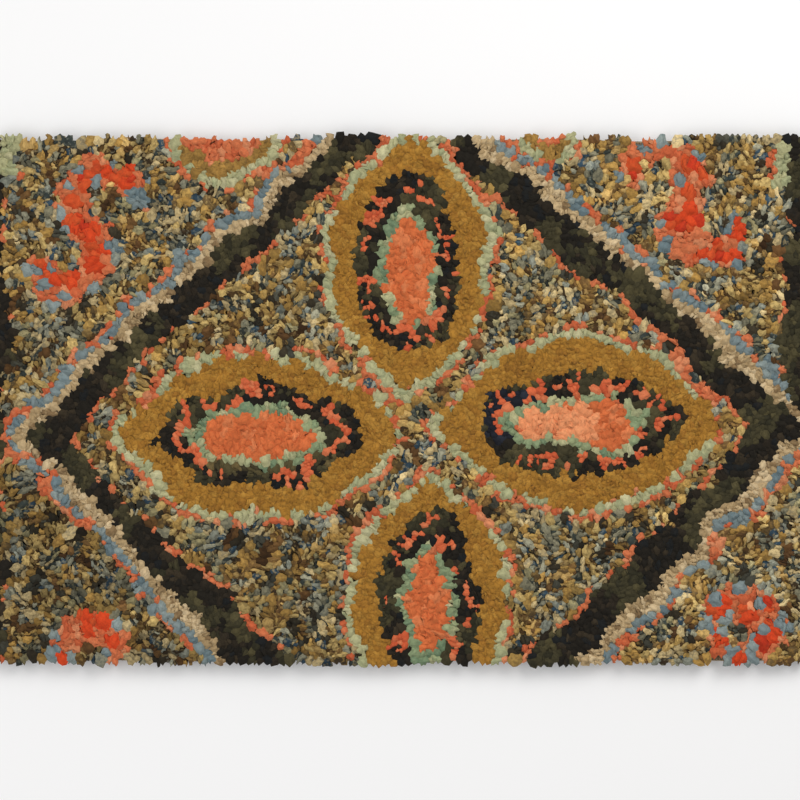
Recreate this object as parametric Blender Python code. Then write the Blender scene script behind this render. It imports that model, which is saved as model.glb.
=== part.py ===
# Hooked rug: a flat cut length of sheared rag pile on a hemmed ground cloth, lying on the floor.
#
# Ground cloth and pile are hooked into one thing, so the rug is one solid: a lumpy slab with
# the height of the sheared pile, a hand-cut edge that wanders a little, and a rim where the
# outermost tufts bulge past the cloth that holds them. Its underside is flat.
# Metres, +Z up, origin under the middle of the rug on the floor.

import math
import random

import bmesh
import bpy

# Driving dimensions
RUG_WIDTH = 0.494  # along X, over the bulge of the rim
RUG_DEPTH = 0.319  # along Y, over the bulge of the rim
PILE_TOP = 0.0116  # mean height of the sheared pile over the floor
GROUND_CLOTH_TOP = 0.0026  # ground cloth and turned hem together
LUMP_PITCH = 0.008  # a clump of three or four tufts

# The rim, as one row for each level: height over the floor, and how far it stands in from
# the widest line of the bulge
RIM_LEVELS = (
    # height, inset
    (0.0104, 0.0013),  # shoulder of the outer tufts
    (0.0072, 0.0000),  # widest line of the bulge
    (GROUND_CLOTH_TOP, 0.0016),  # where the tufts leave the cloth
    (0.0000, 0.0022),  # turned edge of the cloth on the floor
)
TOP_INSET = 0.0042  # where the shoulder runs into the top

# Swells of the pile, left by uneven hooking and shearing
SWELLS = (
    # wave_x, wave_y, phase_x, phase_y, height
    (0.131, 0.097, 0.4, 1.9, 0.00030),
    (0.061, 0.074, 2.1, 0.7, 0.00024),
    (0.037, 0.031, 4.4, 3.2, 0.00020),
)
LUMP_HEIGHT = 0.00065  # most that a clump stands over or under its neighbours
SIDE_LUMP = 0.0007  # most that a tuft of the rim bulges past its neighbours

# How the hand-cut edge wanders from a straight line
EDGE_WAVE_LENGTH = 0.117
EDGE_WAVE_DEPTH = 0.0008

RUG_COLOUR = (0.165, 0.108, 0.060, 1.0)  # mean of the yarns, seen from across a room
RUG_ROUGHNESS = 0.95
SEED = 24


def clear_scene():
    for thing in list(bpy.data.objects):
        bpy.data.objects.remove(thing, do_unlink=True)


def wool_material():
    material = bpy.data.materials.new("rag_pile")
    material.use_nodes = True
    shader = material.node_tree.nodes["Principled BSDF"]
    shader.inputs["Base Color"].default_value = RUG_COLOUR
    shader.inputs["Roughness"].default_value = RUG_ROUGHNESS
    shader.inputs["Metallic"].default_value = 0.0
    material.diffuse_color = RUG_COLOUR
    return material


def swell(x, y):
    """Height of the broad swells at a point of the pile."""
    total = 0.0
    for wave_x, wave_y, phase_x, phase_y, height in SWELLS:
        along_x = math.sin(math.tau * x / wave_x + phase_x)
        along_y = math.sin(math.tau * y / wave_y + phase_y)
        total += height * along_x * along_y
    return total


def edge_wander(along):
    """How far the edge stands in from its widest line, from 0 to twice the wave's depth."""
    return EDGE_WAVE_DEPTH * (1.0 + math.sin(math.tau * along / EDGE_WAVE_LENGTH))


def top_grid(mesh):
    """The top of the pile inside the rim, as a flat grid of clumps."""
    width = RUG_WIDTH - 2 * TOP_INSET
    depth = RUG_DEPTH - 2 * TOP_INSET
    columns = round(width / LUMP_PITCH)
    rows = round(depth / LUMP_PITCH)
    bmesh.ops.create_grid(mesh, x_segments=columns, y_segments=rows, size=0.5)
    for vert in mesh.verts:
        vert.co.x *= width
        vert.co.y *= depth


def outward(point):
    """Direction away from the rug at a point of the grid's border; a corner points between
    its two sides, which rounds it."""
    half_width = RUG_WIDTH / 2 - TOP_INSET
    half_depth = RUG_DEPTH / 2 - TOP_INSET
    near = LUMP_PITCH / 4
    x = math.copysign(1.0, point.x) if abs(abs(point.x) - half_width) < near else 0.0
    y = math.copysign(1.0, point.y) if abs(abs(point.y) - half_depth) < near else 0.0
    length = math.hypot(x, y)
    return x / length, y / length


def wandering_inset(point, direction):
    """Inset of the hand-cut edge at a border point."""
    if direction[0] and direction[1]:
        return EDGE_WAVE_DEPTH
    along = point.y if direction[0] else point.x
    return edge_wander(along)


def border_directions(mesh):
    """Outward direction and edge wander of each border vertex, by its place on the grid."""
    border = [vert for vert in mesh.verts if vert.is_boundary]
    rows = {}
    for vert in border:
        direction = outward(vert.co)
        rows[vert] = (vert.co.copy(), direction, wandering_inset(vert.co, direction))
    return rows


def raise_pile(mesh, dice):
    for vert in mesh.verts:
        lump = dice.uniform(-LUMP_HEIGHT, LUMP_HEIGHT) * (0.4 if vert.is_boundary else 1.0)
        vert.co.z = PILE_TOP + swell(vert.co.x, vert.co.y) + lump


def jitter_clumps(mesh, dice):
    """Moves the inner points a little, so that the clumps don't stand in ruled lines."""
    reach = LUMP_PITCH * 0.28
    for vert in mesh.verts:
        if not vert.is_boundary:
            vert.co.x += dice.uniform(-reach, reach)
            vert.co.y += dice.uniform(-reach, reach)


def extrude_rim(mesh, rows, dice):
    """Carries the border out over the bulging rim and down to the floor, level by level."""
    edges = [edge for edge in mesh.edges if edge.is_boundary]
    for height, inset in RIM_LEVELS:
        made = bmesh.ops.extrude_edge_only(mesh, edges=edges)["geom"]
        new_verts = {item for item in made if isinstance(item, bmesh.types.BMVert)}
        lumpy = SIDE_LUMP if height > GROUND_CLOTH_TOP else 0.0
        new_rows = {}
        for vert, (start, direction, wander) in rows.items():
            beside = (edge.other_vert(vert) for edge in vert.link_edges)
            twin = next(other for other in beside if other in new_verts)
            reach = TOP_INSET - inset - wander - lumpy * dice.random()
            twin.co = (start.x + direction[0] * reach, start.y + direction[1] * reach, height)
            new_rows[twin] = (start, direction, wander)
        rows = new_rows
        edges = [edge for edge in made if isinstance(edge, bmesh.types.BMEdge)]
        edges = [edge for edge in edges if edge.verts[0] in rows and edge.verts[1] in rows]
    return edges


def close_underside(mesh, edges):
    bmesh.ops.contextual_create(mesh, geom=edges)


def build_rug():
    dice = random.Random(SEED)
    mesh = bmesh.new()
    top_grid(mesh)
    rows = border_directions(mesh)
    raise_pile(mesh, dice)
    jitter_clumps(mesh, dice)
    edges = extrude_rim(mesh, rows, dice)
    close_underside(mesh, edges)
    bmesh.ops.recalc_face_normals(mesh, faces=mesh.faces)

    data = bpy.data.meshes.new("hooked_rug")
    mesh.to_mesh(data)
    mesh.free()
    data.shade_smooth()
    data.set_sharp_from_angle(angle=math.radians(60))
    data.materials.append(wool_material())
    rug = bpy.data.objects.new("hooked_rug", data)
    bpy.context.scene.collection.objects.link(rug)
    return rug


clear_scene()
build_rug()
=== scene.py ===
import math

import bmesh
import bpy
import numpy as np
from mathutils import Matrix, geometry


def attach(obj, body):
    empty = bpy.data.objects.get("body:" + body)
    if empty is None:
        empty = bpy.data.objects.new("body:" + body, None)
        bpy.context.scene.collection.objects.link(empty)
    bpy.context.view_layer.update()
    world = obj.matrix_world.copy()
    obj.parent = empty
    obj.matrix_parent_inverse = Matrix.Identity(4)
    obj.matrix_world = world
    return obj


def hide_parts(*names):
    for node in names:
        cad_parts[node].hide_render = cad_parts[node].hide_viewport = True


# Hooked rug, a cut length: a dense sheared pile of wool rag on a hemmed ground cloth, laid flat.
# The pattern is laid out in millimetres from the middle of the rug, x to the right and y
# towards the diamond's top. Everything that Blender gets is in metres.

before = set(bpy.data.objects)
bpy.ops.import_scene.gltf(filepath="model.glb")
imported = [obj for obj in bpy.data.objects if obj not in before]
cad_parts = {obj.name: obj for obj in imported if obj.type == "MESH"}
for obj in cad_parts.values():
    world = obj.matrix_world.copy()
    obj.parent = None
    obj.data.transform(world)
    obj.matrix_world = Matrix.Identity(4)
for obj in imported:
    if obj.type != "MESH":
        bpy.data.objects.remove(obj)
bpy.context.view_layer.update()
millimetre = 0.001

rug = {
    "width": 494.0,
    "depth": 319.0,
    "pileTop": 11.6,
    "clothTop": 2.6,
    "edgeWaveLength": 117.0,
    "edgeWaveDepth": 0.8,
    "cornerRadius": 5.0,
    # wave_x, wave_y, phase_x, phase_y, height: the same swells as the solid has
    "swells": (
        (131.0, 97.0, 0.4, 1.9, 0.30),
        (61.0, 74.0, 2.1, 0.7, 0.24),
        (37.0, 31.0, 4.4, 3.2, 0.20),
    ),
}


def placed(name, data):
    thing = bpy.data.objects.new(name, data)
    bpy.context.scene.collection.objects.link(thing)
    return thing


def linear(colour):
    # a colour from 0 to 255 in each channel, as the light it gives
    value = np.asarray(colour, float) / 255.0
    return np.where(value <= 0.04045, value / 12.92, ((value + 0.055) / 1.055) ** 2.4)


def waves(x, y, wavelength, seed, count=6):
    # a smooth random field, about -1 to 1
    dice = np.random.default_rng(seed)
    total = np.zeros_like(np.asarray(x, float))
    for _ in range(count):
        angle, phase = dice.uniform(0, math.tau, 2)
        length = wavelength * dice.uniform(0.7, 1.5)
        total = total + np.sin((x * math.cos(angle) + y * math.sin(angle)) * math.tau / length + phase)
    return total / math.sqrt(count)


def swell(x, y):
    total = 0.0
    for waveX, waveY, phaseX, phaseY, height in rug["swells"]:
        alongX = np.sin(math.tau * x / waveX + phaseX)
        alongY = np.sin(math.tau * y / waveY + phaseY)
        total = total + height * alongX * alongY
    return total


def insideOutline(x, y):
    # how far a point lies inside the hand-cut edge
    waveX = rug["edgeWaveDepth"] * (1 + np.sin(math.tau * x / rug["edgeWaveLength"]))
    waveY = rug["edgeWaveDepth"] * (1 + np.sin(math.tau * y / rug["edgeWaveLength"]))
    fromSide = rug["width"] / 2 - waveY - np.abs(x)
    fromEnd = rug["depth"] / 2 - waveX - np.abs(y)
    radius = rug["cornerRadius"]
    corner = radius - np.hypot(np.minimum(fromSide - radius, 0), np.minimum(fromEnd - radius, 0))
    return np.minimum(np.minimum(fromSide, fromEnd), corner)


# The pattern, as a maker would chalk it on the cloth.

yarnNames = (
    "tweed", "gold", "charcoal", "coral", "core", "celadon", "cream", "blue", "red", "ochre", "flame",
)
yarnIndex = {name: i for i, name in enumerate(yarnNames)}


def isYarn(yarn, names):
    return np.isin(yarn, [yarnIndex[name] for name in names])


diamond = {
    # a tip, then the side that leaves it clockwise: x, y, dark width, cream row outside it
    "sides": (
        (5.0, 190.0, 15.0, 7.0),
        (240.0, -15.0, 19.0, 8.0),
        (5.0, -260.0, 19.0, 8.0),
        (-225.0, -20.0, 15.0, 6.0),
    ),
    "bow": 2.0,  # how far the middle of a side stands out from a straight line
    "steps": 9,  # places along a side where the hand-drawn line may stray
    "stray": 2.2,
    "strayLength": 60.0,
    "straySeed": 61,
    "uneven": 0.16,  # how much the dark band's width varies
    "unevenLength": 90.0,
    "unevenSeed": 71,
    # rows beside the band, as wide as they are worked
    "blueRow": 4.8,
    "coralRow": 3.2,
    "innerRow": 3.4,
    "innerWorked": 0.6,  # how little of the coral row inside the band is left out
    "innerBreaks": (22.0, 91),  # length and seed of the wave that breaks this row
    "fieldFrom": 1.5,  # petals start this far inside the band
    "leftOverlap": 3.0,  # how far the band's left tip runs over the sash
    # pitches of the tufts in these rows
    "innerPitch": 5.2,
    "bluePitch": 5.6,
    "coralPitch": 5.4,
}

petals = {
    # petal: x, y and half sizes of its gold field
    "fields": {
        "left": (-85.0, -22.0, 82.0, 47.0),
        "right": (107.0, -14.0, 81.0, 49.0),
        "top": (5.0, 82.0, 47.0, 74.0),
        "bottom": (17.0, -121.0, 45.0, 72.0),
    },
    # form of the fields and of their rings: how far its ends taper, how soft their points are and
    # how flat its two sides
    "form": (0.64, 1.15, 5.0),
    "ringForm": (0.6, 1.3, 4.0),
    # rows round a gold field and rings inside it, the outermost first
    "rows": (("coral", 9.0), ("celadon", 5.9)),  # yarn, how far out it reaches
    "rings": (
        # yarn, share of the field's length and of its breadth
        ("charcoal", 0.71, 0.63),
        ("celadon", 0.55, 0.41),
        ("core", 0.43, 0.26),
    ),
    # rows that are worked as lines of tufts: pitch, and how many of the tufts are worked
    "lines": {"coral": (5.0, 0.78), "celadon": (5.2, 0.90)},
    # coral dashes inside the dark ring's outline, at this share of its size
    "dashes": {"share": 0.88, "pitch": 3.3, "stray": 0.5, "length": 15.0, "worked": 0.5},
    "dashWander": (1.2, 3.0),  # their own wander: how much more, and how much finer
    # tongues stand round the dark ring's outline and point outward, some of them coral
    "tongues": {
        "pitch": 2.8, "stray": 0.3, "inset": -0.4, "coralInset": 1.8, "reach": (2.2, 4.2), "sway": 1.7,
        "coral": 0.14, "long": 0.75,
    },
}

rosettes = {
    # x, y and half size of each; the upper edge of the length cuts through both
    "placed": ((-105.0, 165.0, 35.0), (90.0, 170.0, 25.0)),
    # rings of every rosette, the outermost first: yarn, share of its half size
    "rings": (("coral", 1.12), ("celadon", 1.0), ("ochre", 0.86), ("coral", 0.70), ("red", 0.36)),
}

scrolls = {
    # the curls that all scrolls are built from: share of the length, and turn in degrees
    "curls": {"ess": ((0.5, 210), (0.5, -210)), "ring": ((1.0, 310),)},
    "steps": 12,  # straight pieces in each arc of a curl
    "endShare": 0.6,  # width of a spine's ends, as a share of its middle
    # curl, x and y of its middle, heading there in degrees, length, hand, half width of its spine,
    # share of red in the spine
    "placed": (
        ("ess", -187, 104, 140, 145, 1, 7.5, 0.80),
        ("ess", 170, 120, 50, 135, -1, 7.0, 0.68),
        ("ring", -187, -150, 180, 85, 1, 6.0, 0.60),
        ("ring", 205, -137, 0, 90, -1, 6.0, 0.60),
    ),
    "blueReach": 4.0,
    "coralReach": 5.8,
    "toothPitch": 9.0,  # blue teeth take turns with coral along a spine's two sides
    "toothOffset": 1.6,  # radians each way, which put a spine's two sides out of step
    "toothDepth": 2.6,
    "toothFrom": 0.2,  # a tooth is blue where its wave stands over this, give or take some chance
    "toothChance": 0.5,
    "solidTooth": 0.6,  # and blue without exception over this
}

sashes = {
    "left": -240.0,  # inner edges of the dark sashes at the two ends
    "right": 235.0,
    "stray": 3.0,  # how far these edges wander
    "strayLength": 90.0,
    "straySeeds": (81, 82),
    "coralLine": 3.8,
    "rightEnd": -5.0,  # the right sash stops here, at the diamond's tip
    "cornerRows": 130.0,  # above this y a pale row and a coral one run beside each sash
    "paleRow": 9.0,
    "coralRow": 5.0,
}

warp = {
    # how hand-worked lines stray from the chalked ones: reach, wavelength, seed
    "broad": (2.6, 40.0, 11),
    "fine": (0.9, 14.0, 21),
}


def wander(x, y):
    # how far a line strays to the right and upward
    return [
        sum(reach * waves(x, y, length, seed + axis) for reach, length, seed in warp.values())
        for axis in (0, 1)
    ]


def petalNorm(x, y, centreX, centreY, halfX, halfY, form):
    # 1 on the outline of a petal: two flat sides that run in to a soft point at each end
    taper, point, flat = form
    along, across = np.abs((x - centreX) / halfX), np.abs((y - centreY) / halfY)
    if halfY > halfX:
        along, across = across, along
    ends = (along ** point + (taper * across) ** point) ** (1 / point)
    return (ends ** flat + across ** flat) ** (1 / flat)


def drawDiamond():
    # the band's outer line, side by side: x, y, dark width and cream width of each corner
    sides = np.array(diamond["sides"])
    corners = []
    for i, (start, end) in enumerate(zip(sides, np.roll(sides, -1, 0))):
        step = end[:2] - start[:2]
        outward = np.array([-step[1], step[0]]) / np.hypot(*step)
        for share in np.arange(diamond["steps"]) / diamond["steps"]:
            x, y = start[:2] + share * step
            free = math.sin(math.pi * share)
            stray = float(waves(x, y, diamond["strayLength"], diamond["straySeed"] + i))
            aside = diamond["bow"] * free + diamond["stray"] * min(1, 2 * free) * stray
            uneven = float(waves(x, y, diamond["unevenLength"], diamond["unevenSeed"]))
            dark = start[2] * (1 + diamond["uneven"] * uneven)
            corners.append((x + aside * outward[0], y + aside * outward[1], dark, start[3]))
    return np.array(corners)


def drawPetals():
    # every outline of the petals, outermost first: petal, yarn, x, y, half width, half depth, form
    outlines = []
    for name, (x, y, halfX, halfY) in petals["fields"].items():
        for yarn, reach in (*petals["rows"], ("gold", 0.0)):
            outlines.append((name, yarn, x, y, halfX + reach, halfY + reach, petals["form"]))
        for yarn, along, across in petals["rings"]:
            shareX, shareY = (along, across) if halfX > halfY else (across, along)
            outlines.append((name, yarn, x, y, halfX * shareX, halfY * shareY, petals["ringForm"]))
    return outlines


def drawScroll(curl, middleX, middleY, heading, length, hand, halfWidth):
    # a spine that follows the arcs of its curl and swells in the middle: x, y and half width
    spots, x, y, direction = [(0.0, 0.0)], 0.0, 0.0, 0.0
    headings = [0.0]
    steps = scrolls["steps"]
    for share, turn in scrolls["curls"][curl]:
        for _ in range(steps):
            direction += hand * math.radians(turn) / steps
            x += length * share / steps * math.cos(direction)
            y += length * share / steps * math.sin(direction)
            spots.append((x, y))
            headings.append(direction)
    swing = math.radians(heading) - headings[len(headings) // 2]
    spots = np.array(spots) - np.mean(spots, 0)
    cos, sin = math.cos(swing), math.sin(swing)
    end = scrolls["endShare"]
    widths = halfWidth * (end + (1 - end) * np.sin(np.linspace(0, math.pi, len(spots))))
    return [
        (middleX + x * cos - y * sin, middleY + x * sin + y * cos, width)
        for (x, y), width in zip(spots, widths)
    ]


diamondLine = drawDiamond()
petalOutlines = drawPetals()
spines = [(drawScroll(*row[:-1]), row[-1]) for row in scrolls["placed"]]


def bandPlace(x, y):
    # distance inside the diamond's outer line, and the widths of its rows at the nearest place
    corners = diamondLine
    nearest = np.full(np.shape(x), np.inf)
    dark, cream = np.zeros(np.shape(x)), np.zeros(np.shape(x))
    inside = np.zeros(np.shape(x), bool)
    for (x1, y1, dark1, cream1), (x2, y2, dark2, cream2) in zip(corners, np.roll(corners, -1, 0)):
        stepX, stepY = x2 - x1, y2 - y1
        share = np.clip(((x - x1) * stepX + (y - y1) * stepY) / (stepX ** 2 + stepY ** 2), 0, 1)
        away = np.hypot(x - x1 - share * stepX, y - y1 - share * stepY)
        closer = away < nearest
        nearest = np.where(closer, away, nearest)
        dark = np.where(closer, dark1 + share * (dark2 - dark1), dark)
        cream = np.where(closer, cream1 + share * (cream2 - cream1), cream)
        crosses = ((y1 > y) != (y2 > y)) & (x < x1 + (y - y1) * stepX / (stepY or 1e-9))
        inside ^= crosses
    return np.where(inside, nearest, -nearest), dark, cream


def besideBand(outward):
    # a line beside the diamond's outline, at the given distance from each corner
    corners = diamondLine
    step = np.roll(corners[:, :2], -1, 0) - corners[:, :2]
    normal = np.stack([-step[:, 1], step[:, 0]], 1) / np.hypot(step[:, 0], step[:, 1])[:, None]
    mitre = normal + np.roll(normal, 1, 0)
    mitre /= (mitre * normal).sum(1)[:, None]
    line = corners[:, :2] + mitre * outward[:, None]
    return np.concatenate([line, line[:1]])


def innerRowWorked(x, y):
    length, seed = diamond["innerBreaks"]
    return waves(x, y, length, seed) + diamond["innerWorked"] > 0


def spineDistance(x, y, spine):
    # distance from a spine's edge, and the wave of the teeth at that place along it
    best, tooth = np.full(np.shape(x), np.inf), np.zeros(np.shape(x))
    reached = 0.0
    for (x1, y1, r1), (x2, y2, r2) in zip(spine[:-1], spine[1:]):
        length = math.hypot(x2 - x1, y2 - y1)
        share = np.clip(((x - x1) * (x2 - x1) + (y - y1) * (y2 - y1)) / length ** 2, 0, 1)
        away = np.hypot(x - x1 - share * (x2 - x1), y - y1 - share * (y2 - y1)) - r1 - share * (r2 - r1)
        side = np.sign((x - x1) * (y2 - y1) - (y - y1) * (x2 - x1))
        turns = (reached + share * length) * math.tau / scrolls["toothPitch"]
        wave = np.sin(turns + scrolls["toothOffset"] * side)
        tooth = np.where(away < best, wave, tooth)
        best = np.minimum(best, away)
        reached += length
    return best, tooth


filled = {
    # how many tufts of a row take its yarn
    "scrollEdge": 0.4,
    "sashEdge": 0.8,
    "outerCoral": 0.6,
    "outerBlue": 0.7,
    "innerCoral": 0.75,
    "petalCoral": 0.3,
    # and above which chance another yarn comes between
    "blueInCoral": 0.86,
    "coralInCeladon": 0.9,
}


def yarnAt(x, y, dice):
    # which yarn is hooked at each point of the chalked pattern
    yarn = np.zeros(len(x), int)
    chance = dice.random((2, len(x)))

    def put(where, name):
        yarn[where] = yarnIndex[name]

    for centreX, centreY, size in rosettes["placed"]:
        for name, share in rosettes["rings"]:
            put(np.hypot(x - centreX, y - centreY) < size * share, name)

    away, tooth, redShare = np.full(len(x), np.inf), np.zeros(len(x)), np.zeros(len(x))
    for spine, share in spines:
        reach, wave = spineDistance(x, y, spine)
        tooth = np.where(reach < away, wave, tooth)
        redShare = np.where(reach < away, share, redShare)
        away = np.minimum(away, reach)
    blueReach, rim = scrolls["blueReach"], away > -scrolls["toothDepth"]
    blueHere = tooth + scrolls["toothChance"] * (chance[0] - 0.5) > scrolls["toothFrom"]
    put((away < scrolls["coralReach"]) & (chance[0] < filled["scrollEdge"]), "coral")
    put(away < blueReach, "coral")
    put((away < blueReach) & rim & blueHere, "blue")
    put((away < 0) & (chance[1] < redShare), "red")
    put((away < 0) & rim & (tooth > scrolls["solidTooth"]), "blue")

    strayLeft, strayRight = (
        sashes["stray"] * waves(0 * y, y, sashes["strayLength"], seed) for seed in sashes["straySeeds"]
    )
    left = sashes["left"] + strayLeft
    right = sashes["right"] + strayRight + np.where(y > sashes["rightEnd"], 0, rug["width"])
    fromSash = np.minimum(x - left, right - x)
    put(fromSash < 0, "charcoal")
    beside = (fromSash >= 0) & (chance[0] < filled["sashEdge"])
    put(beside & (fromSash < sashes["coralLine"]), "coral")
    corner = y > sashes["cornerRows"]
    put(corner & beside & (fromSash < sashes["paleRow"] + sashes["coralRow"]), "coral")
    put(corner & (fromSash >= 0) & (fromSash < sashes["paleRow"]), "celadon")

    depthIn, dark, cream = bandPlace(x, y)
    onRug = (x > left) & (x < right)
    blueEdge = -cream - diamond["blueRow"]
    coralEdge = blueEdge - diamond["coralRow"]
    put((depthIn > coralEdge) & onRug & (chance[0] < filled["outerCoral"]), "coral")
    put((depthIn > coralEdge) & onRug & (chance[0] > filled["blueInCoral"]), "blue")
    put((depthIn > blueEdge) & onRug & (chance[0] < filled["outerBlue"]), "blue")
    put((depthIn > blueEdge) & onRug & (chance[0] >= filled["outerBlue"]), "coral")
    put((depthIn > -cream) & onRug, "cream")
    put((depthIn > 0) & (x > left - diamond["leftOverlap"]), "charcoal")
    inner = depthIn - dark
    put(inner > 0, "tweed")
    row = (inner > 0) & (inner < diamond["innerRow"]) & innerRowWorked(x, y)
    put(row & (chance[0] < filled["innerCoral"]), "coral")
    for _, name, *outline in petalOutlines:
        within = (petalNorm(x, y, *outline) < 1) & (inner > diamond["fieldFrom"])
        put(within & ((name != "coral") | (chance[1] < filled["petalCoral"])), name)
        if name == "celadon":
            put(within & (chance[1] > filled["coralInCeladon"]), "coral")
    return yarn


# Where each tuft is hooked.

hooking = {
    # yarn: pitch of its tufts
    "pitch": {
        "tweed": 5.3, "gold": 3.9, "charcoal": 4.2, "coral": 4.6, "core": 5.4,
        "celadon": 4.8, "cream": 4.0, "blue": 5.2, "red": 5.2, "ochre": 4.0,
    },
    "rowPitch": 0.866,  # rows of open ground lie this share of a pitch apart
    "jitter": 0.24,
    "swing": (1.3, 30.0, 5),  # reach, wavelength and seed of the swing in these rows
    "clearance": 0.66,
    "edgeGap": 1.7,
    "rowStray": 0.9,  # how far tufts of a drawn row stand beside it
    "rowSlip": 0.2,  # and along it, as a share of their pitch
    "seed": 31,
}


drawnLines = {
    # line: the yarns of the pattern that it runs through, the yarn it is worked in where that is
    # always the same, its clearance
    "coralTongue": (("charcoal", "gold"), "flame", 1.5),
    "darkTongue": (("charcoal", "gold"), "charcoal", 1.5),
    "petalEdge": (("tweed", "coral"), "coral", 3.3),
    "celadon": (("celadon", "coral", "blue"), None, 3.3),
    "coral": (("coral", "blue"), None, 3.3),
    "blue": (("coral", "blue"), None, 3.3),
}


class TuftField:
    # the tufts hooked so far, with a coarse grid to find near ones
    def __init__(self, cell=4.0):
        self.cell = cell
        self.grid = {}
        self.rows = []

    def near(self, x, y, reach):
        column, row = int(x // self.cell), int(y // self.cell)
        steps = int(reach // self.cell) + 1
        for i in range(column - steps, column + steps + 1):
            for j in range(row - steps, row + steps + 1):
                for otherX, otherY in self.grid.get((i, j), ()):
                    if (otherX - x) ** 2 + (otherY - y) ** 2 < reach * reach:
                        return True
        return False

    def add(self, x, y, yarn, angle=math.nan):
        self.grid.setdefault((int(x // self.cell), int(y // self.cell)), []).append((x, y))
        self.rows.append((x, y, yarn, angle))


def resample(points, pitch, stray, dice):
    # x, y and direction of tufts a pitch apart along a line, each a little off its place
    steps = np.diff(points, axis=0)
    along = np.concatenate(([0], np.cumsum(np.hypot(*steps.T))))
    count = max(2, int(along[-1] / pitch))
    slip = hooking["rowSlip"]
    wanted = (np.arange(count) + dice.uniform(-slip, slip, count)) * along[-1] / count
    x, y = (np.interp(wanted, along, points[:, i]) for i in (0, 1))
    last = np.clip(np.searchsorted(along, wanted) - 1, 0, len(steps) - 1)
    angle = np.arctan2(steps[last, 1], steps[last, 0])
    aside = stray * dice.uniform(-1, 1, count)
    return np.stack([x - aside * np.sin(angle), y + aside * np.cos(angle), angle], 1)


def petalPath(centreX, centreY, halfX, halfY, form, steps=720):
    angle = np.linspace(0, math.tau, steps)
    x, y = halfX * np.cos(angle), halfY * np.sin(angle)
    norm = petalNorm(x, y, 0, 0, halfX, halfY, form)
    return np.stack([centreX + x / norm, centreY + y / norm], 1)


def betweenRings(outer, inner):
    # the line midway between two outlines of a petal
    middle = [(a + b) / 2 for a, b in zip(outer[2:6], inner[2:6])]
    form = [(a + b) / 2 for a, b in zip(outer[6], inner[6])]
    return petalPath(*middle, form)


def drawTongues(ring, dice):
    # narrow tongues of charcoal and coral that point outward from a dark ring's outline
    tongues = petals["tongues"]
    spots = resample(petalPath(*ring[2:]), tongues["pitch"], tongues["stray"], dice)
    count = len(spots)
    outward = spots[:, 2] - math.pi / 2
    coral = dice.random(count) < tongues["coral"]
    inset = np.where(coral, tongues["coralInset"], tongues["inset"])
    tip = dice.uniform(-1, 1, count) * tongues["sway"] - inset
    root = tip - dice.uniform(*tongues["reach"], count)
    parts = []
    for name, mine in (("coralTongue", coral), ("darkTongue", ~coral)):
        for out, kept in ((tip, mine), (root, mine & (dice.random(count) < tongues["long"]))):
            away = np.stack([np.cos(outward), np.sin(outward)], 1) * out[:, None]
            spot = np.column_stack([spots[:, :2] + away, outward])
            parts.append((name, spot[kept]))
    return parts


def drawDashes(ring, seed, dice):
    # broken strokes of coral inside a dark ring's outline
    dashes = petals["dashes"]
    x, y, halfX, halfY, form = ring[2:]
    line = petalPath(x, y, halfX * dashes["share"], halfY * dashes["share"], form)
    spots = resample(line, dashes["pitch"], dashes["stray"], dice)
    strokes = waves(spots[:, 0], spots[:, 1], dashes["length"], seed)
    more, finer = petals["dashWander"]
    spots[:, :2] += more * np.stack(wander(finer * spots[:, 0], finer * spots[:, 1]), 1)
    return "coralTongue", spots[strokes + dashes["worked"] > 0]


def drawnRows(dice):
    # the rows that are worked as single lines of tufts: line, then x, y and direction of each tuft
    rows = []
    stray = hooking["rowStray"]
    for outer, inner in zip(petalOutlines[:-1], petalOutlines[1:]):
        yarn = outer[1]
        if outer[0] != inner[0]:
            continue
        if yarn in petals["lines"]:
            pitch, share = petals["lines"][yarn]
            spots = resample(betweenRings(outer, inner), pitch, stray, dice)
            worked = dice.random(len(spots)) < share
            rows.append(("petalEdge" if yarn == "coral" else yarn, spots[worked]))
        if yarn == "charcoal":
            rows += drawTongues(outer, dice)
            rows.append(drawDashes(outer, len(rows), dice))
    dark, cream = diamondLine[:, 2], diamondLine[:, 3]
    blue, coral = diamond["blueRow"], diamond["coralRow"]
    inside = resample(besideBand(-dark - diamond["innerRow"] / 2), diamond["innerPitch"], stray, dice)
    rows.append(("coral", inside[innerRowWorked(inside[:, 0], inside[:, 1])]))
    rows.append(("blue", resample(besideBand(cream + blue / 2), diamond["bluePitch"], stray, dice)))
    outside = besideBand(cream + blue + coral / 2)
    rows.append(("coral", resample(outside, diamond["coralPitch"], stray, dice)))
    return rows


def openGround(pitch, dice):
    # places for tufts in staggered rows, each a little off its place
    rows = int(rug["depth"] / pitch / hooking["rowPitch"]) + 3
    columns = int(rug["width"] / pitch) + 3
    i, j = np.meshgrid(np.arange(columns), np.arange(rows))
    x = (i + 0.5 * (j % 2) - columns / 2).ravel() * pitch
    y = (j - rows / 2).ravel() * pitch * hooking["rowPitch"]
    jitter = hooking["jitter"] * pitch
    reach, length, seed = hooking["swing"]
    x = x + dice.uniform(-jitter, jitter, len(x)) + reach * waves(x, y, length, seed)
    y = y + dice.uniform(-jitter, jitter, len(y)) + reach * waves(x, y, length, seed + 1)
    inside = insideOutline(x, y) > hooking["edgeGap"]
    return x[inside], y[inside]


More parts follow.
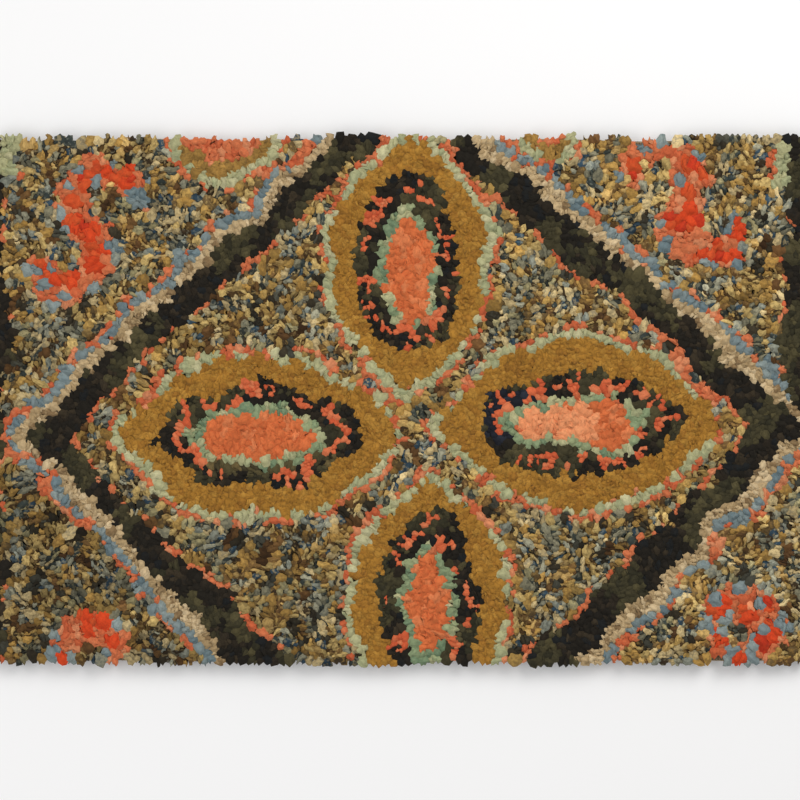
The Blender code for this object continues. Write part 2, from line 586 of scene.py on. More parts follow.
def placeTufts():
    # every tuft: x, y, yarn and direction of its row, which open ground hasn't got
    dice = np.random.default_rng(hooking["seed"])
    field = TuftField()
    for name, points in drawnRows(dice):
        x, y, angle = points.T
        wanted = yarnAt(x, y, dice)
        strayX, strayY = wander(x, y)
        x, y = x - strayX, y - strayY
        through, own, clearance = drawnLines[name]
        keep = isYarn(wanted, through) & (insideOutline(x, y) > hooking["edgeGap"])
        if own:
            wanted[:] = yarnIndex[own]
        for i in np.flatnonzero(keep):
            if not field.near(x[i], y[i], clearance):
                field.add(x[i], y[i], int(wanted[i]), angle[i])
    for name, pitch in hooking["pitch"].items():
        x, y = openGround(pitch, dice)
        strayX, strayY = wander(x, y)
        wanted = yarnAt(x + strayX, y + strayY, dice)
        for k in np.flatnonzero(wanted == yarnIndex[name]):
            if not field.near(x[k], y[k], pitch * hooking["clearance"]):
                field.add(x[k], y[k], yarnIndex[name])
    return np.array(field.rows), dice


# Colours of the rags.

plyShares = {
    # how many tufts show one, two, three or four plies
    "strand": (0.6, 0.4),
    "broadStrand": (0.75, 0.25),
    "stroke": (0.35, 0.65),
    "pair": (0.3, 0.7),
    "loosePair": (0.4, 0.6),
    "soft": (0.4, 0.5, 0.1),
    "printed": (0.0, 0.1, 0.6, 0.3),
    "printedLight": (0.0, 0.15, 0.55, 0.3),
    "lightStrip": (0.2, 0.5, 0.3),
    "darkStrip": (0.05, 0.5, 0.45),
}


rags = {
    # rag: lighter dyes, and darker ones that show between them, each a share and a colour (0-255),
    # then its kind of plies and their spacing
    "gold": (((6, (163, 117, 47)), (3, (171, 126, 54)), (2, (153, 107, 43))), (), "strand", 2.0),
    "charcoal": (
        ((5, (34, 31, 26)), (2, (45, 39, 31)), (1, (30, 32, 33)), (1, (58, 50, 38))), (), "strand", 2.2,
    ),
    "oliveBlack": (((5, (64, 60, 42)), (2, (50, 48, 35)), (2, (80, 74, 50))), (), "strand", 2.2),
    "moss": (((5, (86, 78, 52)), (2, (104, 90, 58)), (2, (66, 60, 42))), (), "strand", 2.2),
    "navy": (((4, (34, 36, 44)), (2, (42, 46, 56))), (), "strand", 2.2),
    "coral": (((6, (206, 116, 76)), (3, (196, 98, 62)), (2, (214, 138, 98))), (), "broadStrand", 2.4),
    "flame": (((5, (208, 104, 66)), (3, (198, 90, 56)), (2, (214, 122, 82))), (), "stroke", 2.4),
    "core": (((6, (211, 112, 65)), (3, (204, 105, 60)), (2, (216, 126, 80))), (), "pair", 2.9),
    "peach": (((5, (235, 155, 108)), (2, (227, 145, 99))), (), "pair", 2.9),
    "celadon": (((5, (176, 175, 133)), (3, (162, 166, 127)), (2, (190, 186, 146))), (), "strand", 2.6),
    "seaGreen": (((4, (136, 152, 116)), (3, (152, 162, 122)), (2, (116, 138, 108))), (), "strand", 2.6),
    "cream": (
        ((4, (194, 170, 130)), (3, (170, 146, 108)), (2, (208, 186, 148)), (1, (136, 112, 80))),
        (), "soft", 2.2,
    ),
    "blue": (((5, (122, 136, 138)), (3, (138, 150, 148)), (2, (106, 124, 130))), (), "strand", 2.6),
    "red": (((5, (210, 72, 36)), (3, (204, 84, 44)), (1, (194, 58, 34))), (), "loosePair", 2.9),
    "ochre": (((5, (166, 128, 66)), (2, (150, 116, 60))), (), "strand", 2.2),
    "creamBlue": (
        ((5, (208, 186, 136)), (2, (170, 168, 144)), (1, (148, 152, 138))),
        ((3, (60, 68, 66)), (3, (56, 78, 94)), (3, (64, 52, 36))), "printed", 1.7,
    ),
    "creamBrown": (
        ((4, (206, 178, 114)), (2, (184, 152, 88))),
        ((3, (82, 61, 37)), (2, (62, 51, 36)), (2, (112, 86, 50))), "printed", 1.7,
    ),
    "greyTeal": (
        ((3, (140, 136, 112)), (2, (168, 158, 116))), ((3, (64, 72, 68)), (2, (50, 54, 50))), "printed", 1.7,
    ),
    "straw": (
        ((5, (190, 154, 86)), (3, (174, 136, 71)), (1, (208, 178, 112))),
        ((1, (112, 92, 60)),), "lightStrip", 1.9,
    ),
    "strawBrown": (
        ((5, (186, 148, 80)), (3, (202, 168, 104))),
        ((3, (104, 78, 48)), (2, (128, 98, 58)), (1, (70, 56, 40))), "printedLight", 1.7,
    ),
    "brown": (((4, (98, 70, 41)), (2, (80, 57, 35)), (2, (124, 92, 54))), (), "darkStrip", 1.8),
    "soot": (((4, (60, 54, 41)), (2, (49, 44, 34)), (2, (76, 76, 66))), (), "darkStrip", 1.8),
}
ragNames = list(rags)

otherRags = (
    # where another rag takes the place of a yarn's own: yarn, x, y and half sizes of the oval, rag
    ("charcoal", -80.0, -35.0, 35.0, 10.0, "moss"),
    ("charcoal", 60.0, -10.0, 10.0, 15.0, "navy"),
    ("charcoal", 75.0, 0.0, 15.0, 5.0, "navy"),
    ("core", 85.0, -15.0, 30.0, 25.0, "peach"),
)

ragMix = {
    "oliveSize": 42.0,  # patches of olive black among the charcoal
    "oliveSeed": 8,
    "oliveGrain": 0.25,
    "oliveFrom": 0.15,
    "ovalGrain": 0.13,  # how ragged the ovals of other rags are
    "seaGreen": 0.65,  # share of this rag in the celadon rings inside a dark one
}


tweed = {
    # shares of the rags in the mixed field, in its light upper right and its dark lower left
    "shares": {
        "creamBlue": (0.35, 0.31), "creamBrown": (0.22, 0.20), "greyTeal": (0.14, 0.12),
        "straw": (0.12, 0.08), "strawBrown": (0.14, 0.17), "brown": (0.03, 0.07), "soot": (0.02, 0.07),
    },
    "patchSize": 40.0,  # one rag is commoner here and another there
    "patchSeed": 40,
    "patchStrength": 0.5,
    "clumps": 2400,  # tufts near each other are often cut from one rag
    "clumpChance": 0.55,
    "spotSize": 26.0,  # spots of the straw rag alone, towards the upper right
    "spotSeed": 47,
    "spotFrom": 1.25,
    "spotFade": 1.2,
    "shadeSpread": 0.17,
    "lightRise": 0.3,  # the light plies of a printed rag stand over the dark ones
    "shadeLowerLeft": 0.59,  # painted shade: the tweed's colour is darkened towards that corner, where less light falls
    "shadeUpperRight": 0.93,
    "shadeRise": 0.34,  # below 1, most of the fall-off lies close to the corner
    "shadeReach": 1.2,  # where it ends, with the middle of an edge at 1
}


def drawDyes(dyes, count, dice):
    shares = np.array([share for share, _ in dyes], float)
    colours = np.array([linear(colour) for _, colour in dyes])
    return colours[dice.choice(len(dyes), count, p=shares / shares.sum())]


def towardsUpperRight(x, y):
    # 0 at the lower left, 1 at the upper right
    way = (x / rug["width"] * 2 + y / rug["depth"] * 2) / tweed["shadeReach"]
    return np.clip(0.5 + 0.5 * way, 0, 1)


def nearestClump(x, y, dice, batch=512):
    clumpX = dice.uniform(-rug["width"] / 2, rug["width"] / 2, tweed["clumps"])
    clumpY = dice.uniform(-rug["depth"] / 2, rug["depth"] / 2, tweed["clumps"])
    near = np.empty(len(x), int)
    for start in range(0, len(x), batch):
        part = slice(start, start + batch)
        near[part] = ((x[part, None] - clumpX) ** 2 + (y[part, None] - clumpY) ** 2).argmin(1)
    return near


def tweedRags(x, y, dice):
    # the rag of each tuft of the mixed field, and how light it is: a random tone, times a painted shade that
    # darkens it towards the lower left
    near = nearestClump(x, y, dice)
    clumped = dice.random(len(x)) < tweed["clumpChance"]
    draw, shade = (
        np.where(clumped, make(tweed["clumps"])[near], make(len(x)))
        for make in (dice.random, dice.standard_normal)
    )
    names = list(tweed["shares"])
    light, dark = np.array(list(tweed["shares"].values())).T
    way = towardsUpperRight(x, y)[:, None]
    seeds = tweed["patchSeed"] + np.arange(len(names))
    patches = np.stack([waves(x, y, tweed["patchSize"], seed) for seed in seeds], 1)
    shares = (light * way + dark * (1 - way)) * np.exp(tweed["patchStrength"] * patches)
    chances = np.cumsum(shares, 1)
    picked = (draw[:, None] * chances[:, -1:] > chances).sum(1)
    rag = np.array([ragNames.index(name) for name in names])[picked]
    spots = waves(x, y, tweed["spotSize"], tweed["spotSeed"])
    spotted = spots > tweed["spotFrom"] + tweed["spotFade"] * (1 - way[:, 0])
    rag[spotted] = ragNames.index("straw")
    # painted shade: the colour is darkened from the upper right towards the lower left
    low, high = tweed["shadeLowerLeft"], tweed["shadeUpperRight"]
    paintedShadeFallOff = low + (high - low) * way[:, 0] ** tweed["shadeRise"]
    return rag, np.exp(tweed["shadeSpread"] * shade) * paintedShadeFallOff


def chooseRags(x, y, yarn, dice):
    rag = np.array([ragNames.index(name if name in rags else "straw") for name in yarnNames])[yarn]
    mixed = yarn == yarnIndex["tweed"]
    shade = np.ones(len(x))
    rag[mixed], shade[mixed] = tweedRags(x[mixed], y[mixed], dice)
    olive = waves(x, y, ragMix["oliveSize"], ragMix["oliveSeed"])
    olive = olive + dice.normal(0, ragMix["oliveGrain"], len(x)) > ragMix["oliveFrom"]
    rag[(yarn == yarnIndex["charcoal"]) & olive] = ragNames.index("oliveBlack")
    for name, centreX, centreY, halfX, halfY, other in otherRags:
        norm = np.hypot((x - centreX) / halfX, (y - centreY) / halfY)
        here = norm < 1 + dice.normal(0, ragMix["ovalGrain"], len(x))
        rag[(yarn == yarnIndex[name]) & here] = ragNames.index(other)
    inner = np.zeros(len(x), bool)
    for _, name, *outline in petalOutlines:
        if name == "charcoal":
            inner |= petalNorm(x, y, *outline) < 1
    green = inner & (dice.random(len(x)) < ragMix["seaGreen"])
    rag[(yarn == yarnIndex["celadon"]) & green] = ragNames.index("seaGreen")
    return rag, shade


turning = {
    "petalReach": 9.0,  # tufts this near to a petal's celadon outlines lie along them
    "bandAngle": 0.77,  # slope of the diamond's sides, in radians
    "bandMiddle": (8.0, -20.0),
    "spread": 0.35,
    "coreSpread": 0.6,
    "slopeStep": 0.1,
}


def rowDirections(x, y, yarn, given, dice):
    # the plies of a tuft lie side by side along its row; in open ground they lie any way
    angle = np.where(np.isnan(given), dice.uniform(0, math.tau, len(x)), given)
    free = np.isnan(given)
    nearest = np.full(len(x), turning["petalReach"])
    small = turning["slopeStep"]
    petalYarn = isYarn(yarn, ("celadon", "coral"))
    for _, name, *outline in petalOutlines:
        if name != "celadon":
            continue
        norm = petalNorm(x, y, *outline)
        slopeX = petalNorm(x + small, y, *outline) - norm
        slopeY = petalNorm(x, y + small, *outline) - norm
        away = np.abs(norm - 1) * min(outline[2:4])
        closer = free & (away < nearest) & petalYarn
        angle = np.where(closer, np.arctan2(slopeX, -slopeY), angle)
        nearest = np.where(closer, away, nearest)
    middleX, middleY = turning["bandMiddle"]
    rising = (x - middleX) * (y - middleY) < 0
    alongBand = np.where(rising, turning["bandAngle"], -turning["bandAngle"])
    angle = np.where(free & isYarn(yarn, ("cream", "blue")), alongBand, angle)
    core = yarn == yarnIndex["core"]
    angle = np.where(core, 0.0, angle)
    spread = np.where(core, turning["coreSpread"], turning["spread"])
    return angle + dice.normal(0, 1, len(x)) * spread


plies = {
    "bend": (0.1, 0.5),  # the plies of a tuft stand in an arc: its depth
    "arc": (0.6, 0.8),  # how far the middle ply stands forward, and how fast the others fall back
    "darkFirst": 0.35,  # share of printed tufts that start with a dark ply
    "edgeGap": 1.2,
    "shade": 0.05,  # how much plies of one rag differ
    "tweedShade": 0.09,
}


def splitPlies(x, y, yarn, rag, shade, angles, dice):
    # a tuft is the cut end of a strand or a folded strip: its plies stand side by side in an arc
    parts = []
    middle, fall = plies["arc"]
    for index, name in enumerate(ragNames):
        lights, darks, kind, spacing = rags[name]
        shares = plyShares[kind]
        mine = np.flatnonzero(rag == index)
        if not len(mine):
            continue
        count = 1 + dice.choice(len(shares), len(mine), p=np.array(shares) / sum(shares))
        bend = dice.uniform(*plies["bend"], len(mine))
        bow = dice.uniform(*cellShape["bow"], len(mine)) * dice.choice((-1, 1), len(mine))
        first = dice.random(len(mine)) < plies["darkFirst"]
        for ply in range(len(shares)):
            some = ply < count
            here, number = mine[some], count[some]
            steps = ply - (number - 1) / 2
            arc = bend[some] * (middle - fall * steps ** 2) * (number > 2)
            cos, sin = np.cos(angles[here]), np.sin(angles[here])
            isDark = ((ply + first[some]) % 2 == 1) & (len(darks) > 0)
            main = drawDyes(lights, len(here), dice)
            fleck = drawDyes(lights, len(here), dice)
            if darks:
                shaded = drawDyes(darks, len(here), dice)
                pairs = ((shaded, main), (fleck, shaded))
                main, fleck = (np.where(isDark[:, None], a, b) for a, b in pairs)
            rise = tweed["lightRise"] * np.where(isDark, -1.0, 1.0) * (len(darks) > 0)
            parts.append(np.column_stack([
                x[here] + steps * spacing * cos - arc * sin, y[here] + steps * spacing * sin + arc * cos,
                yarn[here], main * shade[here, None], fleck * shade[here, None], rise,
                here, bow[some] * cos, bow[some] * sin, cos, sin,
            ]))
    return np.concatenate(parts)


def layOutPile():
    tufts, dice = placeTufts()
    x, y, yarn = tufts[:, 0], tufts[:, 1], tufts[:, 2].astype(int)
    rag, shade = chooseRags(x, y, yarn, dice)
    angles = rowDirections(x, y, yarn, tufts[:, 3], dice)
    sites = splitPlies(x, y, yarn, rag, shade, angles, dice)
    sites = sites[insideOutline(sites[:, 0], sites[:, 1]) > plies["edgeGap"]]
    yarn = sites[:, 2].astype(int)
    spread = np.where(yarn == yarnIndex["tweed"], plies["tweedShade"], plies["shade"])
    shade = np.exp(dice.normal(0, 1, len(sites)) * spread)[:, None]
    return {
        "x": sites[:, 0], "y": sites[:, 1], "yarn": yarn, "main": sites[:, 3:6] * shade,
        "fleck": sites[:, 6:9] * shade, "rise": sites[:, 9], "tuft": sites[:, 10].astype(int),
        "bow": sites[:, 11:13], "across": sites[:, 13:15], "dice": dice,
    }


# Pieces of the pile.

tweedForm = {"Shoulder Size": 1.16, "Shoulder Height": 0.90, "Crown Size": 0.66, "Ragged": 0.0009}
velvetForm = {"Shoulder Size": 1.34, "Shoulder Height": 0.94, "Crown Size": 0.80, "Ragged": 0.0014}
strokeForm = {"Shoulder Size": 1.20, "Shoulder Height": 0.93, "Crown Size": 0.78, "Ragged": 0.0006}
rowForm = {"Shoulder Size": 1.18, "Shoulder Height": 0.92, "Crown Size": 0.76, "Ragged": 0.0012}

pieceTable = {
    # piece: yarns, material, form of its tufts
    "pile_tweed_left": (("tweed",), "tweedWool", tweedForm),
    "pile_tweed_near_left": (("tweed",), "tweedWool", tweedForm),
    "pile_tweed_near_right": (("tweed",), "tweedWool", tweedForm),
    "pile_tweed_right": (("tweed",), "tweedWool", tweedForm),
    "pile_gold": (("gold", "ochre"), "goldWool", velvetForm),
    "pile_charcoal": (("charcoal",), "charcoalWool", velvetForm),
    "pile_core": (("core",), "coralWool", velvetForm),
    "pile_coral": (("coral", "red"), "coralWool", rowForm),
    "pile_flames": (("flame",), "coralWool", strokeForm),
    "pile_pale": (("celadon", "cream", "blue"), "paleWool", rowForm),
}

tuftShape = {
    # yarn: spread of the tufts' height, lean of their tips
    "tweed": (0.40, 0.6), "gold": (0.16, 0.3), "charcoal": (0.20, 0.4), "coral": (0.30, 0.8),
    "core": (0.12, 0.3), "celadon": (0.30, 0.5), "cream": (0.35, 0.5), "blue": (0.30, 0.5),
    "red": (0.25, 0.4), "ochre": (0.22, 0.3), "flame": (0.20, 0.4),
}


def pieceNumbers(pile):
    number = np.zeros(len(pile["x"]), int)
    for i, (yarns, _, _) in enumerate(pieceTable.values()):
        for name in yarns:
            number[pile["yarn"] == yarnIndex[name]] = i
    mixed = pile["yarn"] == yarnIndex["tweed"]
    order = np.argsort(pile["x"][mixed])
    tweedPieces = sum(yarns == ("tweed",) for yarns, _, _ in pieceTable.values())
    strip = np.empty(len(order), int)
    strip[order] = np.arange(len(order)) * tweedPieces // len(order)
    number[mixed] = strip
    return number


shearing = {
    "spread": 0.6,  # of a ply's height, in the spreads of tuftShape
    "most": 1.2,
    "leastLean": 0.3,
}


outerRing = {
    "offset": 1.4,
    "pitch": 3.6,
    # how the ring follows the hand-cut edge: from which distance outside it, how far, how closely
    "follow": (1.9, 4.0, 0.8),
}


def outerSites():
    # a ring of sites just off the rug, which bounds the outermost tufts and is then left out
    halfX, halfY = rug["width"] / 2 + outerRing["offset"], rug["depth"] / 2 + outerRing["offset"]
    corners = np.array([(-halfX, -halfY), (halfX, -halfY), (halfX, halfY), (-halfX, halfY), (-halfX, -halfY)])
    points = []
    for start, end in zip(corners[:-1], corners[1:]):
        count = int(np.hypot(*(end - start)) / outerRing["pitch"])
        share = (np.arange(count) / count)[:, None]
        points.append(start + (end - start) * share)
    points = np.concatenate(points)
    distance, most, closeness = outerRing["follow"]
    pull = np.clip(insideOutline(points[:, 0], points[:, 1]) + distance, -most, 0.0)
    length = np.hypot(points[:, 0], points[:, 1])
    return points * (1 + (pull / length)[:, None] * closeness)


cellShape = {
    "bow": (0.06, 0.17),  # how far the plies of one tuft curl together, as a share of their length
    "wave": 0.27,  # how far the border between two plies swings out, as a share of its length
    "waveMost": 1.6,  # limit of this swing, in its own spreads
    "waveFrom": 1.5,  # shorter borders stay straight
    "plain": ("gold", "charcoal", "flame"),  # and all borders of these yarns
    # thin plies are given more weight, which draws the borders round them in
    "weights": {"coral": 2.3, "celadon": 0.95, "cream": 0.9},
    "darkPlyWeight": 1.05,
}


def delaunayFaces(sites):
    # corners of each triangle, as numbers of the given sites
    places = [(float(x), float(y)) for x, y in sites]
    _, _, faces, origins, _, _ = geometry.delaunay_2d_cdt(places, [], [], 0, 1e-5)
    source = np.array([o[0] for o in origins])
    return source[np.array(faces)]


def outlineCells(pile):
    # the cell of each ply: x and y of its corners, and the ply that each corner belongs to
    dice, count = pile["dice"], len(pile["x"])
    sites = np.concatenate([np.stack([pile["x"], pile["y"]], 1), outerSites()])
    weight = np.ones(len(sites))
    for name, value in cellShape["weights"].items():
        weight[:count][pile["yarn"] == yarnIndex[name]] = value
    weight[:count][pile["rise"] < 0] = cellShape["darkPlyWeight"]
    corners = delaunayFaces(sites)
    share = weight[corners][:, :, None]
    node = (sites[corners] * share).sum(1) / share.sum(1)
    site, face = corners.ravel(), np.repeat(np.arange(len(corners)), 3)
    inner = site < count
    site, face = site[inner], face[inner]
    arm = node[face] - sites[site]
    order = np.lexsort((np.arctan2(arm[:, 1], arm[:, 0]), site))
    site, face = site[order], face[order]
    first = np.flatnonzero(np.diff(site, prepend=-1))
    after = np.arange(1, len(site) + 1)
    after[np.append(first[1:], len(site)) - 1] = first
    low, high = np.minimum(face, face[after]), np.maximum(face, face[after])
    _, border = np.unique(low * len(node) + high, return_inverse=True)
    step = node[high] - node[low]
    most = cellShape["waveMost"]
    swing = np.clip(dice.normal(0, 1, border.max() + 1), -most, most)[border] * cellShape["wave"]
    shared = np.bincount(border)[border] == 2
    beside = np.where(shared, np.bincount(border, site)[border].astype(int) - site, site)
    together = (shared & (pile["tuft"][site] == pile["tuft"][beside]))[:, None]
    aside = np.stack([-step[:, 1], step[:, 0]], 1) * swing[:, None]
    curl = pile["bow"][site] * np.hypot(*step.T)[:, None]
    middle = (node[high] + node[low]) / 2 + np.where(together, curl, aside)
    wavy = np.hypot(*step.T) > cellShape["waveFrom"]
    wavy &= ~isYarn(pile["yarn"][site], cellShape["plain"])
    wavy &= np.bincount(border, wavy)[border] > 0
    points = np.stack([node[face], middle], 1).reshape(-1, 2)
    used = np.stack([np.ones(len(site), bool), wavy], 1).ravel()
    return points[used], np.repeat(site, 2)[used]


def tuftTops(pile):
    # height of each ply's top and how far it leans, in millimetres
    dice, count = pile["dice"], len(pile["x"])
    spread, reach = np.array([tuftShape[name] for name in yarnNames])[pile["yarn"]].T
    top = rug["pileTop"] + swell(pile["x"], pile["y"]) + pile["rise"]
    most = shearing["most"]
    top = top + spread * np.clip(dice.normal(0, shearing["spread"], count), -most, most)
    angle = dice.uniform(0, math.tau, count)
    away = reach * dice.uniform(shearing["leastLean"], 1, count)
    return top, np.stack([np.cos(angle), np.sin(angle), 0 * angle], 1) * away[:, None]


goldenShare = 0.618034  # its multiples spread evenly between whole numbers


def cellMesh(name, chosen, points, owner, pile, tops, leans):
    # the chosen plies' cells as separate flat faces, with what the tufts need to know at each corner
    mine = chosen[owner]
    points, owner = points[mine], owner[mine]
    starts = np.flatnonzero(np.diff(owner, prepend=-1))
    sizes = np.diff(np.append(starts, len(owner)))
    mesh = bpy.data.meshes.new(name)
    mesh.vertices.add(len(points))
    mesh.loops.add(len(points))
    mesh.polygons.add(len(starts))
    flat = np.column_stack([points, np.zeros(len(points))]) * millimetre
    mesh.vertices.foreach_set("co", flat.astype(np.float32).ravel())
    mesh.loops.foreach_set("vertex_index", np.arange(len(points), dtype=np.int32))
    mesh.polygons.foreach_set("loop_start", starts.astype(np.int32))
    mesh.update(calc_edges=True)
    centre = np.add.reduceat(flat, starts) / sizes[:, None]
    none, full = np.zeros(len(owner)), np.ones(len(owner))
    for layer, kind, field, values in (
        ("cellCentre", "FLOAT_VECTOR", "vector", np.repeat(centre, sizes, 0)),
        ("tuftTop", "FLOAT", "value", tops[owner] * millimetre),
        ("tuftLean", "FLOAT_VECTOR", "vector", leans[owner] * millimetre),
        ("tuftDice", "FLOAT", "value", (owner * goldenShare) % 1),
        ("plyAcross", "FLOAT_VECTOR", "vector", np.column_stack([pile["across"][owner], none])),
        ("tuftColour", "FLOAT_COLOR", "color", np.column_stack([pile["main"][owner], full])),
        ("fleckColour", "FLOAT_COLOR", "color", np.column_stack([pile["fleck"][owner], full])),
    ):
        attribute = mesh.attributes.new(layer, kind, "POINT")
        attribute.data.foreach_set(field, np.ascontiguousarray(values, dtype=np.float32).ravel())
    return mesh


# The tufts, grown on the cells.

tuftRoots = {
    # what all tufts share, beside the form of their piece
    "Root Height": rug["clothTop"] * millimetre - 0.0002,  # a little inside the cloth
    "Root Size": 0.5,
    "Ragged Scale": 420.0,
}


class Tree:
    # shorthand for adding and joining nodes
    def __init__(self, tree):
        self.tree = tree

    def add(self, kind, inputs=None, **settings):
        node = self.tree.nodes.new(kind)
        for name, value in settings.items():
            setattr(node, name, value)
        for key, value in (inputs or {}).items():
            self.feed(node.inputs[key], value)
        return node

    def feed(self, socket, value):
        if isinstance(value, bpy.types.Node):
            value = next(s for s in value.outputs if s.enabled)
        if isinstance(value, bpy.types.NodeSocket):
            self.tree.links.new(value, socket)
        else:
            socket.default_value = value

    def maths(self, operation, *values):
        node = self.tree.nodes.new("ShaderNodeMath")
        node.operation = operation
        for socket, value in zip(node.inputs, values):
            self.feed(socket, value)
        return node.outputs[0]

    def plus(self, *values):
        return self.maths("ADD", *values)

    def minus(self, *values):
        return self.maths("SUBTRACT", *values)

    def times(self, *values):
        return self.maths("MULTIPLY", *values)

    def vector(self, operation, first, second=None, scale=None):
        node = self.tree.nodes.new("ShaderNodeVectorMath")
        node.operation = operation
        self.feed(node.inputs[0], first)
        if second is not None:
            self.feed(node.inputs[1], second)
        if scale is not None:
            self.feed(node.inputs["Scale"], scale)
        return node.outputs["Value"] if operation in ("LENGTH", "DOT_PRODUCT") else node.outputs["Vector"]


tuftNoise = {
    "gain": 2.6,  # brings the noise out to about the length that Ragged gives
    "variety": 9.0,  # how differently neighbouring tufts are cut
    "weld": 1e-5,
}


def openSockets(tree, way, kind, *names):
    for name in names:
        tree.interface.new_socket(name, in_out=way, socket_type="NodeSocket" + kind)


def tuftTree():
    tree = bpy.data.node_groups.new("tuftedPile", "GeometryNodeTree")
    openSockets(tree, "INPUT", "Geometry", "Geometry")
    openSockets(tree, "INPUT", "Float", *tuftRoots, *tweedForm)
    openSockets(tree, "INPUT", "Material", "Material")
    openSockets(tree, "OUTPUT", "Geometry", "Geometry")
    build = Tree(tree)
    given = build.add("NodeGroupInput").outputs

    def named(name, kind):
        node = build.add("GeometryNodeInputNamedAttribute", {"Name": name}, data_type=kind)
        return node.outputs["Attribute"]

    position = build.add("GeometryNodeInputPosition").outputs[0]
    arm = build.vector("SUBTRACT", position, named("cellCentre", "FLOAT_VECTOR"))
    cells = build.add(
        "GeometryNodeStoreNamedAttribute", {"Geometry": given["Geometry"], "Name": "cellArm", "Value": arm},
        data_type="FLOAT_VECTOR", domain="POINT",
    ).outputs["Geometry"]

    centre, arm = named("cellCentre", "FLOAT_VECTOR"), named("cellArm", "FLOAT_VECTOR")
    rise = build.minus(named("tuftTop", "FLOAT"), given["Root Height"])

    def ringPlace(size, share):
        # a level of the tuft: size of its ring, and how high it stands as a share of the tuft
        spread = build.vector("ADD", centre, build.vector("SCALE", arm, scale=size))
        height = build.plus(given["Root Height"], build.times(rise, share))
        lifted = build.vector("ADD", spread, build.add("ShaderNodeCombineXYZ", {"Z": height}).outputs[0])
        lean = build.times(share, share)
        bent = build.vector("SCALE", named("tuftLean", "FLOAT_VECTOR"), scale=lean)
        tuft = build.times(named("tuftDice", "FLOAT"), tuftNoise["variety"])
        settings = {"Vector": lifted, "Scale": given["Ragged Scale"], "Detail": 1.0, "W": tuft}
        noise = build.add("ShaderNodeTexNoise", settings, noise_dimensions="4D").outputs["Color"]
        centred = build.vector("SUBTRACT", noise, (0.5, 0.5, 0.5))
        ragged = build.times(build.times(given["Ragged"], tuftNoise["gain"]), share)
        torn = build.vector("SCALE", centred, scale=ragged)
        return build.vector("ADD", build.vector("ADD", lifted, bent), torn)

    def move(mesh, place, selection=None):
        inputs = {"Geometry": mesh, "Position": place}
        if selection is not None:
            inputs["Selection"] = selection
        return build.add("GeometryNodeSetPosition", inputs).outputs[0]

    roots = move(cells, ringPlace(given["Root Size"], 0.0))
    tufts = roots
    for size, share in ((given["Shoulder Size"], given["Shoulder Height"]), (given["Crown Size"], 1.0)):
        inputs = {"Mesh": tufts, "Offset Scale": 0.0, "Individual": True}
        grown = build.add("GeometryNodeExtrudeMesh", inputs, mode="FACES")
        tufts = move(grown.outputs["Mesh"], ringPlace(size, share), grown.outputs["Top"])
    soles = build.add("GeometryNodeFlipFaces", {"Mesh": roots}).outputs[0]
    both = build.add("GeometryNodeJoinGeometry")
    build.feed(both.inputs[0], tufts)
    build.feed(both.inputs[0], soles)
    last = both.outputs[0]
    for kind, settings in (
        ("GeometryNodeMergeByDistance", {"Distance": tuftNoise["weld"]}),
        ("GeometryNodeSetShadeSmooth", {}),
        ("GeometryNodeRealizeInstances", {}),
        ("GeometryNodeSetMaterial", {"Material": given["Material"]}),
    ):
        last = build.add(kind, {"Geometry": last, **settings}).outputs[0]
    build.add("NodeGroupOutput", {"Geometry": last})
    return tree


def grow(name, cells, tree, material, form):
    # a piece of the pile, with the tufts grown on its cells
    holder = placed("holder", cells)
    modifier = holder.modifiers.new("pile", "NODES")
    modifier.node_group = tree
    sockets = {item.name: item.identifier for item in tree.interface.items_tree if item.in_out == "INPUT"}
    modifier[sockets["Material"]] = material
    for key, value in {**tuftRoots, **form}.items():
        modifier[sockets[key]] = value
    graph = bpy.context.evaluated_depsgraph_get()
    mesh = bpy.data.meshes.new_from_object(holder.evaluated_get(graph), depsgraph=graph)
    bpy.data.objects.remove(holder, do_unlink=True)
    bpy.data.meshes.remove(cells)
    for layer in ("cellCentre", "cellArm", "tuftTop", "tuftLean", "tuftDice", "material_index"):
        if layer in mesh.attributes:
            mesh.attributes.remove(mesh.attributes[layer])
    mesh.materials.clear()
    mesh.materials.append(material)
    mesh.name = name
    return placed(name, mesh)


# Materials.

def newMaterial(name, surface):
    # a material, its shader with the fixed values of its surface, and shorthand for its nodes
    material = bpy.data.materials.new(name)
    material.use_nodes = True
    shader = material.node_tree.nodes["Principled BSDF"]
    for key, value in surface.items():
        shader.inputs[key].default_value = value
    return material, shader, Tree(material.node_tree)


fibreLook = {
    "fleckEdge": (0.50, 0.58),  # noise values between which a fleck fades in
    "mottleScale": 190.0,
    "fibreScale": 900.0,
    "fibreStretch": 0.22,  # fibres are drawn out along the strip
    "foldScale": 330.0,
    "foldTwist": 0.6,
    "creaseWidth": 0.045,
    "mottleShare": (0.55, 0.45),  # of mottle and fibre in the brightness
    "bumpShare": (0.7, 0.3),  # and in the bump
    "contrast": 5.0,
    "rootHeights": (0.0075, 0.0112),  # a tuft's shade is full below the first and gone above the second
    "warmth": (0.85, 1.35),  # powers of red and blue in that shade, which make it warmer
}


fibreInputs = ("Fleck Share", "Fleck Scale", "Mottle", "Crease Depth And Shade", "Root Shade")


